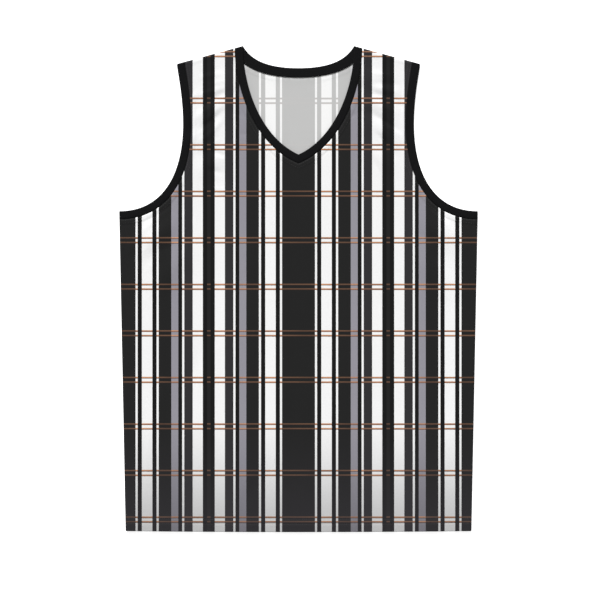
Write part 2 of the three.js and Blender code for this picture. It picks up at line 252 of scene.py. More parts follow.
def armholeEdge():
    shoulder = (jersey["shoulderHalf"], -jersey["shoulderDrop"])
    narrowest = (jersey["acrossHalf"], -jersey["acrossDepth"])
    underarm = (jersey["chestHalf"], -jersey["underarmDepth"])
    upper = [
        shoulder, (shoulder[0], shoulder[1] - jersey["shoulderHandle"]),
        (narrowest[0], narrowest[1] + jersey["aboveHandle"]), narrowest,
    ]
    lower = [
        narrowest, (narrowest[0], narrowest[1] - jersey["belowHandle"]),
        (underarm[0] - jersey["underarmHandle"], underarm[1]), underarm,
    ]
    return Edge([upper, lower], jersey["aboveShare"], -1)


frontNeck = neckEdge(jersey["frontNeckDepth"], jersey["frontNeckHandles"])
backNeck = neckEdge(jersey["backNeckDepth"], jersey["backNeckHandles"], band["widerBy"])
armhole = armholeEdge()
panelInward = band["width"] + band["panelGap"]  # the panels' seam line, in from the free edges


# Laying the flat cloth out

def turnHem(x, y):
    # The cloth goes round the hem's fold and up inside: the height it gets to, and how far below the face.
    radius = cloth["hemRadius"]
    above = y - hemAt(x)
    angle = np.clip((radius - above) / radius, 0, pi)
    inside = np.maximum(0, -above - (pi - 1) * radius)
    rise = np.where(above > radius, above, radius * (1 - np.sin(angle)) + inside)
    return hemAt(x) + rise, radius * (1 - np.cos(angle))


def foldSum(rows, x, y):
    total = np.zeros_like(x)
    for middleX, middleY, turn, length, width, height in rows:
        dx, dy = x - middleX, y - middleY
        along = dx * np.cos(radians(turn)) + dy * np.sin(radians(turn))
        across = dy * np.cos(radians(turn)) - dx * np.sin(radians(turn))
        end = np.cos(pi * np.clip(along / length, -0.5, 0.5)) ** 2
        total += height * end * bump(across, width)
    return total


def lay(x, y, layer, inset=0, proud=0, relief=0, gap=jersey["seamGap"]):
    # The cloth rounds over to the seam lines at the sides and shoulders, which lie at middle height.
    side, shoulder = fromSide(x, y), fromShoulder(x, y)
    distance = np.minimum(side, shoulder)
    turned = np.clip(distance / jersey["foldRadius"], 0, pi / 2)
    drawnIn = jersey["foldRadius"] * (1 - np.cos(turned)) - np.minimum(distance, quarterFold) + slack
    shift = drawnIn + inset * np.cos(turned)
    outX = np.where(side < shoulder, 1, shoulderOut.x) * np.sign(x)
    outY = np.where(side < shoulder, 0, shoulderOut.y)
    level = (jersey["foldRadius"] + proud - inset) * np.sin(turned)
    height = middleHeight + layer * (gap / 2 + level) + relief * smooth(distance, 0, cloth["foldFade"])
    return np.stack([x - outX * shift, y - outY * shift, height], axis=-1)


def nearestSeam(x, y, edges):
    # How far each point is from the nearest band's seam line, and how far along that line.
    places = np.concatenate([edge.at(seamRuns, panelInward) for edge in edges])
    lengths = np.concatenate([edge.lengthTo(seamRuns) for edge in edges])
    tree = kdtree.KDTree(len(places))
    for index, (px, py) in enumerate(places):
        tree.insert((px, py, 0), index)
    tree.balance()
    found = [tree.find((abs(px), py, 0)) for px, py in zip(x, y)]
    return np.array([hit[2] for hit in found]), lengths[[hit[1] for hit in found]]


puckerWaves = dict(least=0.6, swell=0.4, swellPitches=5.9, swellPhase=1, wander=1.3, wanderPitches=8.3)


def pucker(along, pitch):
    # A wave whose height and pitch drift, so that no two puckers are alike.
    swelling = np.sin(2 * pi * along / (puckerWaves["swellPitches"] * pitch) + puckerWaves["swellPhase"])
    wander = puckerWaves["wander"] * np.sin(2 * pi * along / (puckerWaves["wanderPitches"] * pitch))
    height = puckerWaves["least"] + puckerWaves["swell"] * swelling
    return height * np.sin(2 * pi * along / pitch + wander)


def sewnRelief(x, y, edges):
    # Ridges, valleys and puckers that the seams and the hem leave in the cloth, outwards.
    away, along = nearestSeam(x, y, edges)
    beyond = away - cloth["allowance"]
    ridge = smooth(away, *cloth["ridgeStart"]) - smooth(beyond, *cloth["ridgeEnd"])
    total = cloth["allowanceRise"] * ridge - cloth["seamValley"] * bump(away, cloth["seamValleyWidth"])
    total -= cloth["hollowDepth"] * bump(beyond - cloth["hollowAway"], cloth["hollowWidth"])
    total += cloth["puckerDepth"] * pucker(along, cloth["puckerPitch"]) * bump(away, cloth["puckerReach"])
    rising, falling = (smooth(fromSeam(x, y), *reach) for reach in cloth["sideRidge"])
    total += cloth["sideRise"] * (rising - falling)
    rise = y - hemAt(x)
    total += cloth["hemPlump"] * (1 - smooth(rise - cloth["hemTurn"], *cloth["hemStep"]))
    for line in cloth["needleLines"]:
        total -= cloth["needleDepth"] * bump(rise - line, cloth["needleWidth"])
    wave = cloth["hemPuckerDepth"] * pucker(x + cloth["hemPuckerShift"], cloth["hemPuckerPitch"])
    total += wave * bump(rise - needleMiddle, cloth["hemPuckerReach"])
    return total, away


def layPanel(x, y, layer, neck):
    y, inset = turnHem(x, y)
    sewn, away = sewnRelief(x, y, [neck, armhole])
    if layer == frontLayer:
        creased = foldSum(frontCreases, x, y) * smooth(away, 0, cloth["creaseFade"])
        sewn = sewn * smooth(fromSeam(x, y), 0, cloth["sewnFade"])
        return lay(x, y, layer, inset, proud=sewn, relief=foldSum(folds, x, y) + creased)
    raised = cloth["backShare"] * np.maximum(0, sewn)  # upwards, so that nothing goes below the floor
    return lay(x, y, layer, inset, relief=foldSum(backCreases, x, y) + raised)


def inFrame(places):
    return (places + np.array([0, originHeight, 0])) * mm


# Making the pieces

def gridOf(columns, rows):
    bm = bmesh.new()
    bmesh.ops.create_grid(bm, x_segments=columns, y_segments=rows, size=0.5)
    places = np.array([vert.co for vert in bm.verts]) + 0.5
    return bm, np.rint(places[:, 0] * columns).astype(int), np.rint(places[:, 1] * rows).astype(int)


def setPlaces(bm, places):
    for vert, place in zip(bm.verts, places):
        vert.co = place


def setClothMap(bm, flat):
    bm.verts.index_update()
    layer = bm.loops.layers.uv.new("cloth")
    for face in bm.faces:
        for loop in face.loops:
            loop[layer].uv = flat[loop.vert.index]


def pieceFrom(bm, name, materials, wall=None):
    mesh = bpy.data.meshes.new(name)
    bm.to_mesh(mesh)
    bm.free()
    for material in materials:
        mesh.materials.append(material)
    for polygon in mesh.polygons:
        polygon.use_smooth = True
    piece = bpy.data.objects.new(name, mesh)
    bpy.context.scene.collection.objects.link(piece)
    if wall:
        solidify = piece.modifiers.new("wall", "SOLIDIFY")
        solidify.thickness = wall * mm
        solidify.offset = -1
        solidify.material_offset = len(materials) - 1
    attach(piece, "root")
    return piece


def stepsBetween(start, end, count):
    return np.linspace(start, end, count + 1)[1:]


# How finely the panels are divided. The rows that end on the armhole start on the centre line up to the run
# chestEnd of the armhole's edge, and above it on the neck.
frontCut = dict(columns=80, bodyRows=132, chestRows=42, yokeRows=54, chestEnd=0.55)
backCut = dict(columns=70, bodyRows=112, chestRows=74, yokeRows=26, chestEnd=0.2)
rowCrowding = 1.3  # rows lie closer together towards the armholes
chestDip = 50  # the row at the armholes' corners is this much lower at the centre
edgeColumns = (0, 1, 2, 3.1, 4.3, 5.6, 7, 8.6)  # distances of the outermost columns from a row's ends
hemRows = dict(
    turned=(16, 13, 10, 7, 4, 2), low=(2, 4.5, 7, 9), high=(21, 22.5),  # heights above the fold line
    nearNeedle=(-1, -0.4, 0, 0.4, 1), foldSteps=6,
)
foldDistances = np.linspace(0, quarterFold, 4)  # from the seam line to where the cloth lies flat


def armholeRuns(cut, inward):
    side = [armhole.runAtSide(distance, inward) for distance in foldDistances]
    shoulder = [armhole.runAtShoulder(distance, inward) for distance in foldDistances[::-1]]
    chest = stepsBetween(side[-1], cut["chestEnd"], cut["chestRows"])
    yoke = stepsBetween(cut["chestEnd"], shoulder[0], cut["yokeRows"])
    return np.concatenate([side, chest, yoke, shoulder[1:]])


def neckRuns(edge, cut, inward):
    shoulder = [edge.runAtShoulder(distance, inward) for distance in foldDistances[::-1]]
    centre = edge.runAtCentre(inward)
    return np.concatenate([[centre], stepsBetween(centre, shoulder[0], cut["yokeRows"]), shoulder[1:]])


def acrossRow(inner, outer, columns):
    # One row of a panel, divided finely at its ends, where the seams are.
    length = np.linalg.norm(outer - inner)
    near = np.array(edgeColumns)
    far = np.append(foldDistances, quarterFold + near[1:])
    middle = np.linspace(near[-1], length - far[-1], columns - len(far) - len(near) + 3)[1:-1]
    shares = np.concatenate([near, middle, length - far[::-1]]) / length
    return inner + (outer - inner) * shares[:, None]


def levelRow(height, columns):
    # A row from the centre line to the side seam
    return acrossRow(np.zeros(2), np.array([sideHalfAt(height) + slack, 0]), columns)


def hemRises():
    # Heights of the hem's rows above its fold line, from its raw edge, which is turned up inside
    radius = cloth["hemRadius"]
    turned = -np.array([cloth["hemTurn"], *hemRows["turned"], radius]) - (pi - 2) * radius
    fold = radius * (1 - stepsBetween(pi, 0, hemRows["foldSteps"]))
    first, second = (line + np.array(hemRows["nearNeedle"]) for line in cloth["needleLines"])
    return np.concatenate([turned, fold, hemRows["low"], first, [needleMiddle], second, hemRows["high"]])


def panelRows(neck, cut):
    outer = armhole.at(armholeRuns(cut, panelInward), panelInward)
    inner = neck.at(neckRuns(neck, cut, panelInward), panelInward)
    inner[0, 0] = 0
    corner = outer[0]

    # From the hem's raw edge to the armhole's corner
    body = []
    for rise in hemRises():
        row = levelRow(hemAt(0), cut["columns"])
        row[:, 0] *= (sideHalfAt(hemAt(0) + max(rise, 0)) + slack) / row[-1, 0]
        row[:, 1] = hemAt(row[:, 0]) + rise
        body.append(row)
    hemTop = hemRows["high"][-1]
    for share in 1 - (1 - stepsBetween(0, 1, cut["bodyRows"])) ** rowCrowding:
        height = hemAt(0) + hemTop + share * (corner[1] - hemAt(0) - hemTop)
        row = levelRow(height, cut["columns"])
        start = hemAt(row[:, 0]) + hemTop
        top = corner[1] - chestDip * (1 - row[:, 0] / corner[0])
        row[:, 1] = start + share * (top - start)
        body.append(row)

    # From there to the neck the rows start on the centre line, and then on the neck's edge
    chestCount = len(outer) - len(inner)
    starts = stepsBetween(corner[1] - chestDip, inner[0, 1], chestCount)
    inner = np.concatenate([np.stack([np.zeros(chestCount), starts], axis=-1), inner[1:]])
    yoke = [acrossRow(start, end, cut["columns"]) for start, end in zip(inner, outer[1:])]
    return np.array(body + yoke)


def panelPiece(name, neck, layer, cut, materials):
    rows = panelRows(neck, cut)
    bm, column, row = gridOf(len(rows[0]) - 1, len(rows) - 1)
    flat = rows[row, column]
    setPlaces(bm, np.column_stack([flat, np.zeros(len(flat))]))
    everything = bm.verts[:] + bm.edges[:] + bm.faces[:]
    bmesh.ops.mirror(bm, geom=everything, axis="X", merge_dist=onCentre)
    bmesh.ops.recalc_face_normals(bm, faces=bm.faces[:])
    bm.normal_update()
    bm.faces.ensure_lookup_table()
    if bm.faces[0].normal.z * layer < 0:
        bmesh.ops.reverse_faces(bm, faces=bm.faces[:])
    flat = np.array([vert.co for vert in bm.verts])
    area = sum(face.calc_area() for face in bm.faces) * mm**2
    setClothMap(bm, inFrame(flat)[:, :2])
    setPlaces(bm, inFrame(layPanel(flat[:, 0], flat[:, 1], layer, neck)))
    piece = pieceFrom(bm, name, materials, cloth["thickness"])
    size = (flat.max(axis=0) - flat.min(axis=0)) * mm
    print(f"{name}: cut {size[0]:.3f} x {size[1]:.3f} m, {area:.3f} square metres")
    return piece, (float(size[0]), float(size[1])), area


def bandSection():
    # Round the folded strip, from its seam line on the outside to its seam line on the inside:
    # distance in from the free edge, and depth below the face.
    radius = band["thickness"] / 2
    flat = np.append(band["width"] - np.array(band["seamCorners"]), band["flatCorners"])
    angle = np.linspace(0, pi, band["foldCorners"])
    inward = np.concatenate([flat, radius * (1 - np.sin(angle)), flat[::-1]])
    outer, inner = np.zeros(len(flat)), np.full(len(flat), 2 * radius)
    return inward, np.concatenate([outer, radius * (1 - np.cos(angle)), inner])


sectionInward, sectionInset = bandSection()
aroundSection = np.append(0, np.cumsum(np.hypot(np.diff(sectionInward), np.diff(sectionInset))))


def bandHalf(edge, endRun):
    # Runs of a band's stations from its shoulder end to its other end, a row for each point of the section.
    starts = np.array([edge.runAtShoulder(0, distance) for distance in sectionInward])
    ends = np.array([endRun(distance) for distance in sectionInward])
    length = edge.lengthTo(ends[0]) - edge.lengthTo(starts[0])
    count = round(length / band["ribPitch"] * band["stationsPerRib"])
    even = edge.runAtLength(np.linspace(edge.lengthTo(starts[0]), edge.lengthTo(ends[0]), count + 1))
    share = np.linspace(0, 1, count + 1)
    toStart = (starts - starts[0])[:, None] * (1 - share) ** band["endPower"]
    toEnd = (ends - ends[0])[:, None] * share ** band["endPower"]
    return even + toStart + toEnd


def bandPiece(name, edge, runs, side, layer, mitre=False, gap=jersey["seamGap"]):
    # runs has a row for each point of the section. side and layer say where each station lies.
    bm, station, point = gridOf(runs.shape[1] - 1, runs.shape[0] - 1)
    run, inward, inset = runs[point, station], sectionInward[point], sectionInset[point]
    side, layer = side[station], layer[station]
    along = edge.lengthTo(run)
    x, y = edge.at(run, inward).T
    x = np.where(np.abs(x) < onCentre, 0, x * side)
    rib = band["ribHeight"] * np.cos(2 * pi * along / band["ribPitch"])
    crown = band["crown"] * np.sin(pi * np.clip(inward / band["width"], 0, 1))
    groove = band["valley"] * bump(inward - band["width"], band["valleyWidth"])
    if mitre:
        groove = groove + band["mitreDepth"] * bump(x, band["mitreWidth"])
    front = layer == frontLayer
    onFront, onBack = band["proud"] + crown - groove, -band["ribHeight"] - band["backValley"] * groove
    proud = np.where(front, onFront, onBack) + rib
    deeper = crown * band["innerCrown"] + proud - rib * band["innerRib"]
    depth = inset + inset / band["thickness"] * deeper
    relief = np.where(front, foldSum(folds, x, y), 0)
    gap = np.where(fromSide(x, y) < band["sideReach"], jersey["seamGap"], gap)
    setPlaces(bm, inFrame(lay(x, y, layer, depth, proud, relief, gap)))
    setClothMap(bm, np.stack([along * side, aroundSection[point]], axis=-1) * mm)
    bmesh.ops.recalc_face_normals(bm, faces=bm.faces[:])
    bm.normal_update()
    top = max(bm.faces, key=lambda face: face.calc_center_median().z)
    if top.normal.z < 0:
        bmesh.ops.reverse_faces(bm, faces=bm.faces[:])
    piece = pieceFrom(bm, name, [ribMaterial], band["wall"])
    width = aroundSection[-1] * float(edge.widening(run).mean()) * mm
    size = (width, float(np.abs(np.diff(edge.lengthTo(runs[0]))).sum()) * mm)
    print(f"{name}: cut {size[0]:.3f} x {size[1]:.3f} m")
    return piece, size


def neckBand(name, edge, layer):
    half = bandHalf(edge, edge.runAtCentre)
    runs = np.concatenate([half, half[:, -2::-1]], axis=1)
    side = np.sign(np.arange(runs.shape[1]) - half.shape[1] + 0.5)
    return bandPiece(name, edge, runs, side, np.full(runs.shape[1], layer), mitre=layer == frontLayer)


def armholeBand(name, side):
    half = bandHalf(armhole, lambda inward: armhole.runAtSide(0, inward))
    runs = np.concatenate([half[:, ::-1], half[:, 1:]], axis=1)
    layer = np.where(np.arange(runs.shape[1]) < half.shape[1], frontLayer, backLayer)
    return bandPiece(name, armhole, runs, np.full(runs.shape[1], side), layer, gap=0)


stitch = dict(
    length=2.5, width=0.42, height=0.3, pitch=3.1, sink=0.06,
    seamRows=(1.9, 6.2),  # in from a band's seam line
    hemEnd=2,  # the hem's rows end this far from its corners
    around=6, along=4,  # faces
)


def stitchPlaces(x, y, layer, neck):
    # The matrices of one row of stitches, along points of the flat cloth.
    places = inFrame(layPanel(x, y, layer, neck))
    places[:, 2] -= layer * stitch["sink"] * mm
    size = Matrix.Diagonal(Vector((stitch["length"], stitch["width"], stitch["height"])) * mm / 2).to_4x4()
    matrices = []
    for before, place, after in zip(places[:-2], places[1:-1], places[2:]):
        turn = Vector(after - before).to_track_quat("X", "Z").to_matrix().to_4x4()
        matrices.append(Matrix.Translation(place) @ turn @ size)
    return matrices


def copiesOf(source, matrices):
    # One mesh of many copies of a small one. Its faces are sorted, so that their order is the same each run.
    corners = np.array([[*vert.co, 1] for vert in source.verts])
    source.verts.index_update()
    loops = sorted([vert.index for vert in face.verts] for face in source.faces)
    places = np.einsum("mij,nj->mni", np.array(matrices), corners)[..., :3]
    starts = np.arange(len(matrices)) * len(corners)
    faces = [(np.array(loop) + start).tolist() for start in starts for loop in loops]
    mesh = bpy.data.meshes.new("copies")
    mesh.from_pydata(places.reshape(-1, 3), [], faces)
    copies = bmesh.new()
    copies.from_mesh(mesh)
    bpy.data.meshes.remove(mesh)
    return copies


def rowAlong(edge, endRun, inward, further=0):
    # Even points from the shoulder on. The first and the last only show which way their neighbours lie.
    start = edge.lengthTo(edge.runAtShoulder(quarterFold, inward))
    end = edge.lengthTo(endRun(inward)) + further
    count = round((end - start) / stitch["pitch"]) + 1
    return edge.at(edge.runAtLength(np.linspace(start, end, count)), inward)


def stitchPiece(name, neck, layer):
    matrices = []
    for distance in stitch["seamRows"]:
        inward = panelInward + distance
        neckRow = rowAlong(neck, neck.runAtCentre, inward, further=stitch["pitch"] / 2)
        armholeRow = rowAlong(armhole, lambda value: armhole.runAtSide(quarterFold, value), inward)
        for side in (1, -1):
            for row in (neckRow, armholeRow):
                matrices += stitchPlaces(side * row[:, 0], row[:, 1], layer, neck)
    for rise in cloth["needleLines"]:
        half = jersey["hemHalf"] - stitch["hemEnd"]
        x = np.arange(-half, half, stitch["pitch"])
        matrices += stitchPlaces(x, hemAt(x) + rise, layer, neck)
    one = bmesh.new()
    bmesh.ops.create_uvsphere(one, u_segments=stitch["around"], v_segments=stitch["along"], radius=1)
    copies = copiesOf(one, matrices)
    one.free()
    print(f"{name}: {len(matrices)} stitches")
    return pieceFrom(copies, name, [threadMaterial])


# Materials

def colour(red, green, blue):
    # A shader's linear colour, from the values that a screen shows, 0 to 255
    shown = [value / 255 for value in (red, green, blue)]
    return [value / 12.92 if value <= 0.04045 else ((value + 0.055) / 1.055) ** 2.4 for value in shown] + [1]


inks = dict(
    black=(colour(23, 23, 23), 0.0),  # with how strongly the copper lines show over it
    charcoal=(colour(33, 33, 33), 0.22),
    slate=(colour(47, 46, 48), 0.4),
    grey=(colour(143, 141, 149), 0.9),
    white=(colour(235, 235, 235), 1.0),
)
printSizes = dict(
    # One half of the stripes, from the centre out, in millimetres. Each half is mirrored in the next.
    stripes=[
        ("charcoal", 24), ("white", 3.2), ("black", 6.5), ("white", 15.5), ("black", 6), ("white", 3.2),
        ("charcoal", 19), ("grey", 10), ("black", 6), ("white", 3.2), ("slate", 12), ("white", 15.5),
        ("black", 6), ("charcoal", 2.9),
    ],
    # Pairs of copper lines across, each with a dark edge below it
    crossPitch=69, crossStart=26, crossApart=6.8, crossWidth=2.2, crossShade=0.9,
    crossUneven=0.5, unevenNoise=(14, 1),  # the lines darken here and there
    copper=colour(206, 152, 116), copperShade=colour(84, 52, 40), copperBehind=colour(92, 78, 72),
    # Heights, in the frame, between which the print grows darker, and by how much
    fadeStart=-175, fadeEnd=-400, fade=0.53, fadeColour=colour(54, 52, 56),
    mottleNoise=(420, 3, 0.7), mottle=(0.97, 1.03),  # scale, detail and roughness
    bareCloth=colour(238, 238, 237),
)
noiseSpread = (0.3, 0.7)  # nearly all values of a noise lie between these
narrowSpread = (0.35, 0.65)


def linkTo(tree, socket, value):
    if isinstance(value, bpy.types.NodeSocket):
        tree.links.new(value, socket)
    else:
        socket.default_value = value


def maths(tree, operation, *values, clamp=False):
    node = tree.nodes.new("ShaderNodeMath")
    node.operation = operation
    node.use_clamp = clamp
    for socket, value in zip(node.inputs, values):
        linkTo(tree, socket, value)
    return node.outputs[0]


def mixColours(tree, share, first, second):
    node = tree.nodes.new("ShaderNodeMix")
    node.data_type = "RGBA"
    linkTo(tree, node.inputs[0], share)
    linkTo(tree, node.inputs[6], first)
    linkTo(tree, node.inputs[7], second)
    return node.outputs[2]


def brightened(tree, colourSocket, share):
    node = tree.nodes.new("ShaderNodeHueSaturation")
    linkTo(tree, node.inputs["Value"], share)
    linkTo(tree, node.inputs["Color"], colourSocket)
    return node.outputs[0]


def ranged(tree, value, low, high, toLow, toHigh, smoothly=False):
    node = tree.nodes.new("ShaderNodeMapRange")
    node.interpolation_type = "SMOOTHSTEP" if smoothly else "LINEAR"
    for socket, level in zip(node.inputs, (value, low, high, toLow, toHigh)):
        linkTo(tree, socket, level)
    return node.outputs[0]


def noise(tree, vector, scale, detail=2, roughness=0.5):
    node = tree.nodes.new("ShaderNodeTexNoise")
    linkTo(tree, node.inputs["Vector"], vector)
    node.inputs["Scale"].default_value = scale
    node.inputs["Detail"].default_value = detail
    node.inputs["Roughness"].default_value = roughness
    return node.outputs[0]


def newGroup(name, inputs, outputs):
    tree = bpy.data.node_groups.new(name, "ShaderNodeTree")
    for socketName, kind, value in inputs:
        socket = tree.interface.new_socket(name=socketName, in_out="INPUT", socket_type=kind)
        if value is not None:
            socket.default_value = value
    for socketName, kind in outputs:
        tree.interface.new_socket(name=socketName, in_out="OUTPUT", socket_type=kind)
    return tree, tree.nodes.new("NodeGroupInput").outputs, tree.nodes.new("NodeGroupOutput").inputs


def printGroup():
    # Stripes down the jersey, crossed by pairs of copper lines, darker towards the hem. Strength is how much
    # of the ink shows, and Ink how dark it is there.
    tree, given, result = newGroup(
        "jerseyPrint",
        [
            ("Cloth", "NodeSocketVector", None), ("Strength", "NodeSocketFloat", 1.0),
            ("Lines", "NodeSocketColor", printSizes["copper"]),
        ],
        [("Color", "NodeSocketColor"), ("Ink", "NodeSocketFloat")],
    )
    split = tree.nodes.new("ShaderNodeSeparateXYZ")
    tree.links.new(given["Cloth"], split.inputs[0])
    across, upward = split.outputs["X"], split.outputs["Y"]

    half = sum(width for name, width in printSizes["stripes"]) * mm
    stripes = tree.nodes.new("ShaderNodeValToRGB")
    ramp = stripes.color_ramp
    ramp.interpolation = "CONSTANT"
    start = 0
    for index, (name, width) in enumerate(printSizes["stripes"]):
        stop = ramp.elements[0] if index == 0 else ramp.elements.new(start * mm / half)
        ink, copperShows = inks[name]
        stop.position = start * mm / half
        stop.color = ink[:3] + [copperShows]
        start += width
    ramp.elements.remove(ramp.elements[-1])
    tree.links.new(maths(tree, "DIVIDE", maths(tree, "PINGPONG", across, half), half), stripes.inputs[0])

    pitch, start = printSizes["crossPitch"] * mm, printSizes["crossStart"] * mm
    lineWidth, shadeWidth = printSizes["crossWidth"] * mm, printSizes["crossShade"] * mm
    inRepeat = maths(tree, "WRAP", upward, pitch - start, -start)
    lines, shades = 0.0, 0.0
    for middle in (0, printSizes["crossApart"] * mm):
        lines = maths(tree, "ADD", maths(tree, "COMPARE", inRepeat, middle, lineWidth / 2), lines)
        below = middle - lineWidth / 2
        shades = maths(tree, "ADD", maths(tree, "COMPARE", inRepeat, below, shadeWidth / 2), shades)
    patches = noise(tree, given["Cloth"], *printSizes["unevenNoise"])
    uneven = ranged(tree, patches, *narrowSpread, 0, printSizes["crossUneven"])
    shaded = maths(tree, "MAXIMUM", shades, uneven)
    copper = mixColours(tree, shaded, given["Lines"], printSizes["copperShade"])
    shows = maths(tree, "MULTIPLY", maths(tree, "MAXIMUM", lines, shades), stripes.outputs["Alpha"])
    printed = mixColours(tree, shows, stripes.outputs["Color"], copper)

    fadeStart, fadeEnd = printSizes["fadeStart"] * mm, printSizes["fadeEnd"] * mm
    fade = ranged(tree, upward, fadeStart, fadeEnd, 0, printSizes["fade"], smoothly=True)
    printed = mixColours(tree, fade, printed, printSizes["fadeColour"])
    grain = noise(tree, given["Cloth"], *printSizes["mottleNoise"])
    printed = brightened(tree, printed, ranged(tree, grain, *noiseSpread, *printSizes["mottle"]))
    onCloth = mixColours(tree, given["Strength"], printSizes["bareCloth"], printed)
    tree.links.new(onCloth, result["Color"])
    greyness = tree.nodes.new("ShaderNodeRGBToBW")
    tree.links.new(printed, greyness.inputs[0])
    tree.links.new(maths(tree, "SUBTRACT", 1.0, greyness.outputs[0], clamp=True), result["Ink"])
    return tree


knitShape = dict(
    wale=0.0009, course=0.0008, lean=0.5,  # metres, and how many courses a stitch leans by
    loopHeight=0.28, waleHeight=0.6, uneven=0.1, unevenScale=900,
    gapHeights=(-0.2, 0.45),  # below the first all is gap, and above the second none is
)


def knitGroup():
    # Wales of small V stitches. Wale is the width of a wale and Course the height of a course, in metres.
    tree, given, result = newGroup(
        "fineKnit",
        [
            ("Cloth", "NodeSocketVector", None), ("Wale", "NodeSocketFloat", knitShape["wale"]),
            ("Course", "NodeSocketFloat", knitShape["course"]),
        ],
        [("Height", "NodeSocketFloat"), ("Gap", "NodeSocketFloat")],
    )
    split = tree.nodes.new("ShaderNodeSeparateXYZ")
    tree.links.new(given["Cloth"], split.inputs[0])
    wale = maths(tree, "DIVIDE", split.outputs["X"], given["Wale"])
    course = maths(tree, "DIVIDE", split.outputs["Y"], given["Course"])
    fromMiddle = maths(tree, "MULTIPLY", maths(tree, "PINGPONG", wale, 0.5), 2.0)
    slant = maths(tree, "ADD", course, maths(tree, "MULTIPLY", fromMiddle, knitShape["lean"]))
    loops = maths(tree, "SINE", maths(tree, "MULTIPLY", slant, 2 * pi))
    loops = maths(tree, "MULTIPLY", loops, knitShape["loopHeight"])
    roundness = maths(tree, "SUBTRACT", 1.0, maths(tree, "POWER", fromMiddle, 2.0))
    height = maths(tree, "ADD", loops, maths(tree, "MULTIPLY", roundness, knitShape["waleHeight"]))
    patches = noise(tree, given["Cloth"], knitShape["unevenScale"])
    uneven = ranged(tree, patches, *noiseSpread, -knitShape["uneven"], knitShape["uneven"])
    tree.links.new(maths(tree, "ADD", height, uneven), result["Height"])
    # Gap marks the hollows between the stitches. The materials darken their colour there, as painted shade.
    tree.links.new(ranged(tree, height, *knitShape["gapHeights"], 1.0, 0.0), result["Gap"])
    return tree


shine = dict(sheenRoughness=0.4, specular=0.06)  # dull, as cloth is, and the floor too


def newMaterial(name, look):
    material = bpy.data.materials.new(name)
    material.use_nodes = True
    shader = material.node_tree.nodes["Principled BSDF"]
    shader.inputs["Roughness"].default_value = look["roughness"]
    shader.inputs["Sheen Weight"].default_value = look["sheen"]
    shader.inputs["Sheen Roughness"].default_value = shine["sheenRoughness"]
    shader.inputs["Sheen Tint"].default_value = look["tint"]
    shader.inputs["Specular IOR Level"].default_value = shine["specular"]
    return material, material.node_tree, shader


def placed(tree, group, **values):
    node = tree.nodes.new("ShaderNodeGroup")
    node.node_tree = group
    for name, value in values.items():
        linkTo(tree, node.inputs[name], value)
    return node.outputs


def clothMap(tree):
    node = tree.nodes.new("ShaderNodeUVMap")
    node.uv_map = "cloth"
    return node.outputs[0]


def bumped(tree, shader, height, look):
    node = tree.nodes.new("ShaderNodeBump")
    node.inputs["Strength"].default_value = look["bumpStrength"]
    node.inputs["Distance"].default_value = look["bumpDepth"]
    tree.links.new(height, node.inputs["Height"])
    tree.links.new(node.outputs[0], shader.inputs["Normal"])


clothLook = dict(
    roughness=0.72, bareRoughness=0.78, inkedRoughness=0.64, sheen=0.02, tint=(1, 1, 1, 1),
    courseShare=0.85,  # of a wale's width
    bumpDepth=0.00012, bumpStrength=0.7,
)
# paintedGapShade is how far the colour darkens towards black in the knit's gaps: painted shade
outsideLook = dict(strength=1.0, lines=printSizes["copper"], paintedGapShade=0.10)
reverseLook = dict(strength=0.43, lines=printSizes["copperBehind"], paintedGapShade=0.05)


def clothMaterial(name, strength, lines, paintedGapShade):
    material, tree, shader = newMaterial(name, clothLook)
    place = clothMap(tree)
    wale = knitShape["wale"]
    printed = placed(tree, printOnCloth, Cloth=place, Strength=strength, Lines=lines)
    knit = placed(tree, fineKnit, Cloth=place, Wale=wale, Course=wale * clothLook["courseShare"])
    # Painted shade: the colour darkens towards black in the hollows between the knit's stitches
    shaded = mixColours(tree, maths(tree, "MULTIPLY", knit["Gap"], paintedGapShade), printed["Color"], (0, 0, 0, 1))
    tree.links.new(shaded, shader.inputs["Base Color"])
    roughness = ranged(tree, printed["Ink"], 0, 1, clothLook["bareRoughness"], clothLook["inkedRoughness"])
    tree.links.new(roughness, shader.inputs["Roughness"])
    bumped(tree, shader, knit["Height"], clothLook)
    return material


ribLook = dict(
    roughness=0.86, stitchRoughness=0.82, gapRoughness=0.95, sheen=0.03, tint=(0.5, 0.5, 0.52, 1),
    darkYarn=colour(13, 13, 14), paleYarn=colour(24, 24, 25), grainScale=2600,
    # gap is painted shade: the colour of the hollows between the rib's stitches, which gapShade mixes in
    gap=colour(5, 5, 6), gapShade=0.45, course=0.0009,
    lint=colour(36, 36, 38), lintNoise=(700, 4, 0.7), lintSpread=(0.52, 0.74), mostLint=0.5,
    bumpDepth=0.0002, bumpStrength=0.8,
)


def makeRibMaterial():
    material, tree, shader = newMaterial("blackRib", ribLook)
    place = clothMap(tree)
    knit = placed(tree, fineKnit, Cloth=place, Wale=band["ribPitch"] * mm, Course=ribLook["course"])
    grain = ranged(tree, noise(tree, place, ribLook["grainScale"]), *noiseSpread, 0.0, 1.0)
    specks = noise(tree, place, *ribLook["lintNoise"])
    lint = ranged(tree, specks, *ribLook["lintSpread"], 0.0, ribLook["mostLint"])
    yarn = mixColours(tree, grain, ribLook["darkYarn"], ribLook["paleYarn"])
    # Painted shade: the yarn darkens towards the gap colour in the hollows between stitches
    yarn = mixColours(tree, maths(tree, "MULTIPLY", knit["Gap"], ribLook["gapShade"]), yarn, ribLook["gap"])
    tree.links.new(mixColours(tree, lint, yarn, ribLook["lint"]), shader.inputs["Base Color"])
    roughness = ranged(tree, knit["Gap"], 0, 1, ribLook["stitchRoughness"], ribLook["gapRoughness"])
    tree.links.new(roughness, shader.inputs["Roughness"])
    bumped(tree, shader, knit["Height"], ribLook)
    return material


